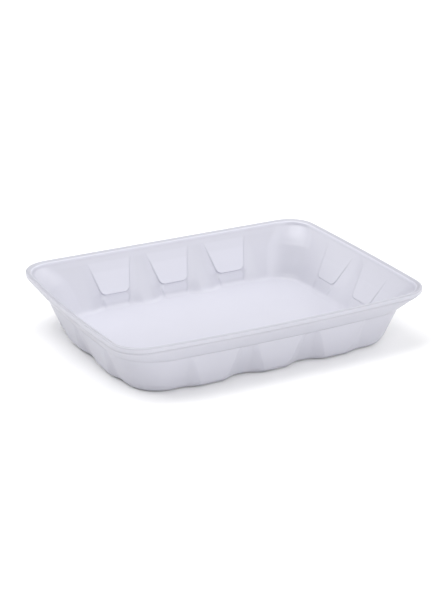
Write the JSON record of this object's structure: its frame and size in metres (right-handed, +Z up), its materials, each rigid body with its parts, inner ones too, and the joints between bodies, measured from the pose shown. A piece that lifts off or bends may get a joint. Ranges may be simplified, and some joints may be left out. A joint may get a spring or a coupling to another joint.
{
  "type": "foam tray",
  "caption": "Deep rectangular foam food tray with a rounded lip, sloping flange, fluted walls and a flat floor.",
  "frame": {"origin": "on the surface that the tray stands on, under the middle of its rim", "axes": "+X along the tray's long sides, +Y along its short sides, +Z up out of its mouth"},
  "size_m": [0.2382, 0.184, 0.0422],
  "materials": {
    "foam": "matte white expanded polystyrene foam with fine cells"
  },
  "bodies": {
    "root": {"foam_tray": "foam"}
  },
  "joints": []
}
